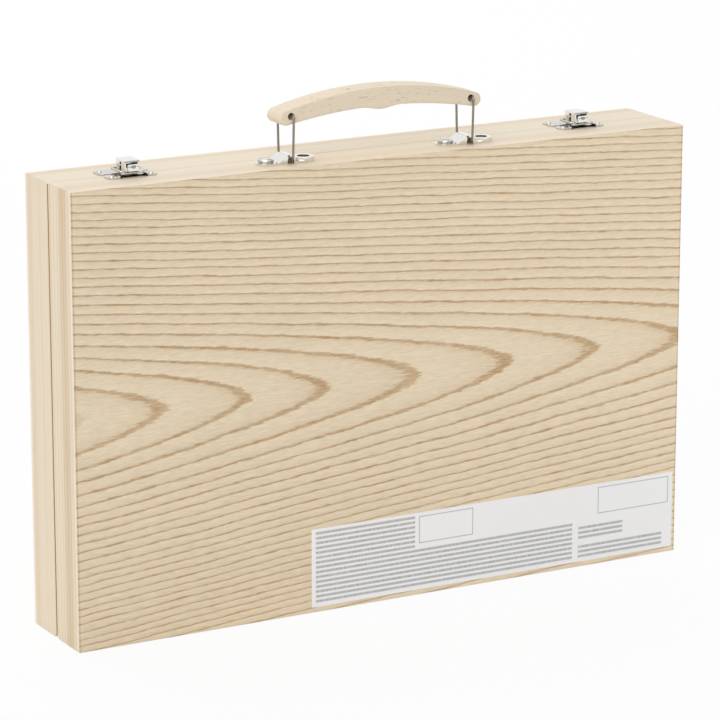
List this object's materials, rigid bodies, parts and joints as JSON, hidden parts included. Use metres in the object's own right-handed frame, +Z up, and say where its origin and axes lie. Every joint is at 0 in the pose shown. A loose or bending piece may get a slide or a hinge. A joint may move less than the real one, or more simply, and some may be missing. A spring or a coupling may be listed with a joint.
{
  "type": "brush box",
  "caption": "Flat wooden brush box that stands on its hinge side, with a hinged lid, toggle latches and a swinging wooden grip on wire bails.",
  "frame": {"origin": "middle of the standing face, on the hinge side, under the middle of the case", "axes": "+Z up to the side with the handle and the latches, +X along the case to the right of someone who faces the base panel, -Y the base half, +Y the lid half"},
  "size_m": [0.38, 0.0583, 0.2895],
  "materials": {
    "panel_wood": "bare veneer, satin",
    "rail_wood": "bare softwood, sanded",
    "divider_wood": "bare softwood, sanded",
    "grip_wood": "bare beech, sanded",
    "nickel": "nickel plated, bright",
    "steel_wire": "plated wire, satin",
    "label_paper": "coated, semi-matt"
  },
  "bodies": {
    "base": {"base_bottom_rail": "rail_wood", "base_hinge_screws": "nickel", "base_latch_nails": "nickel", "base_left_rail": "rail_wood", "base_panel": "panel_wood", "base_right_rail": "rail_wood", "base_top_rail": "rail_wood", "cross_divider": "divider_wood", "handle_pan_screws": "nickel", "handle_sunk_screws": "nickel", "label": "label_paper", "left_handle_saddle": "nickel", "left_hinge_base_leaf": "nickel", "left_hinge_pin": "nickel", "left_latch_plate": "nickel", "left_latch_rivet": "nickel", "long_divider": "divider_wood", "right_handle_saddle": "nickel", "right_hinge_base_leaf": "nickel", "right_hinge_pin": "nickel", "right_latch_plate": "nickel", "right_latch_rivet": "nickel"},
    "lid": {"left_hinge_lid_leaf": "nickel", "left_latch_strike": "nickel", "lid_bottom_rail": "rail_wood", "lid_hinge_screws": "nickel", "lid_latch_nails": "nickel", "lid_left_rail": "rail_wood", "lid_panel": "panel_wood", "lid_right_rail": "rail_wood", "lid_top_rail": "rail_wood", "right_hinge_lid_leaf": "nickel", "right_latch_strike": "nickel"},
    "left_lever": {"left_latch_lever": "nickel"},
    "left_link": {"left_latch_link": "steel_wire"},
    "right_lever": {"right_latch_lever": "nickel"},
    "right_link": {"right_latch_link": "steel_wire"},
    "left_bail": {"left_bail": "steel_wire"},
    "right_bail": {"right_bail": "steel_wire"},
    "grip": {"handle_grip": "grip_wood"}
  },
  "joints": [
    {"name": "lid_hinge", "type": "hinge", "parent": "base", "child": "lid", "pos_m": [0, 0, 0.0015], "axis": [-1, 0, 0], "range_deg": [0, 110]},
    {"name": "left_lever_hinge", "type": "hinge", "parent": "base", "child": "left_lever", "pos_m": [-0.1445, -0.0006, 0.2568], "axis": [-1, 0, 0], "range_deg": [0, 90]},
    {"name": "left_link_hinge", "type": "hinge", "parent": "left_lever", "child": "left_link", "pos_m": [-0.1445, -0.005, 0.2546], "axis": [-1, 0, 0], "range_deg": [-135, 0]},
    {"name": "right_lever_hinge", "type": "hinge", "parent": "base", "child": "right_lever", "pos_m": [0.1355, -0.0006, 0.2568], "axis": [-1, 0, 0], "range_deg": [0, 90]},
    {"name": "right_link_hinge", "type": "hinge", "parent": "right_lever", "child": "right_link", "pos_m": [0.1355, -0.005, 0.2546], "axis": [-1, 0, 0], "range_deg": [-135, 0]},
    {"name": "left_bail_hinge", "type": "hinge", "parent": "base", "child": "left_bail", "pos_m": [-0.05545, -0.0132, 0.2544], "axis": [0, 1, 0], "range_deg": [-72, 72]},
    {"name": "right_bail_hinge", "type": "hinge", "parent": "base", "child": "right_bail", "pos_m": [0.05605, -0.0132, 0.2544], "axis": [0, 1, 0], "range_deg": [-72, 72]},
    {"name": "grip_hinge", "type": "hinge", "parent": "left_bail", "child": "grip", "pos_m": [-0.05545, -0.0132, 0.279], "axis": [0, 1, 0], "range_deg": [-72, 72]}
  ],
  "couplings": [
    {"joint": "left_link_hinge", "follows": "left_lever_hinge", "ratio": -1.5},
    {"joint": "right_link_hinge", "follows": "right_lever_hinge", "ratio": -1.5},
    {"joint": "right_bail_hinge", "follows": "left_bail_hinge", "ratio": 1},
    {"joint": "grip_hinge", "follows": "left_bail_hinge", "ratio": -1}
  ]
}
